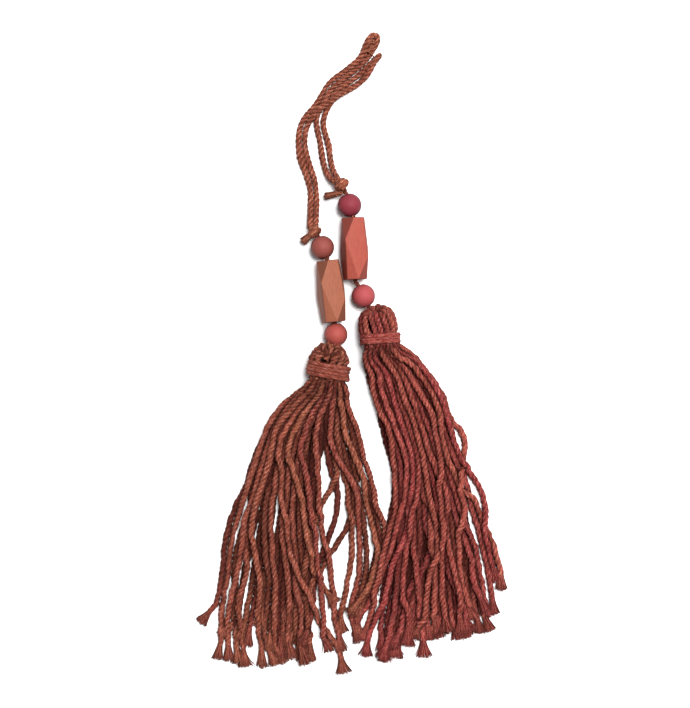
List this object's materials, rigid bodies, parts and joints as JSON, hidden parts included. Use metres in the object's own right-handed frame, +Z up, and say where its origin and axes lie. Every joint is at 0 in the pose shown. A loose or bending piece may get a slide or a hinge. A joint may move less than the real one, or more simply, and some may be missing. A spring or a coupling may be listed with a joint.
{
  "type": "double tassel of jute twine",
  "caption": "Pair of full jute tassels on one doubled hanging cord, with round and faceted wooden beads over bound heads, lying flat.",
  "frame": {"origin": "on the surface it lies on, under the middle of the piece without its two hanging cords", "axes": "+Z up from the surface, +Y from the skirts towards the hanging eye, +X to the right"},
  "size_m": [0.2765, 0.5472, 0.0298],
  "materials": {
    "rust_jute": "rough dyed jute twine, three plies, fuzzy",
    "rust_binding": "rough dyed jute twine",
    "rose_jute": "rough dyed jute twine, three plies, fuzzy",
    "rose_binding": "rough dyed jute twine",
    "bead_left_upper": "dyed wood, satin",
    "bead_left_long": "dyed wood, satin, cut facets",
    "bead_left_lower": "dyed wood, satin",
    "bead_right_upper": "dyed wood, satin",
    "bead_right_long": "dyed wood, satin, cut facets",
    "bead_right_lower": "dyed wood, satin",
    "cord": "twisted jute cord"
  },
  "bodies": {
    "root": {"tassel_left": "rust_jute", "binding_left": "rust_binding", "tassel_right": "rose_jute", "binding_right": "rose_binding", "bead_left_upper": "bead_left_upper", "bead_left_long": "bead_left_long", "bead_left_lower": "bead_left_lower", "bead_right_upper": "bead_right_upper", "bead_right_long": "bead_right_long", "bead_right_lower": "bead_right_lower", "bead_cord_left": "cord", "bead_cord_right": "cord", "cord_eye": "cord", "cord_fold": "cord"}
  },
  "joints": []
}
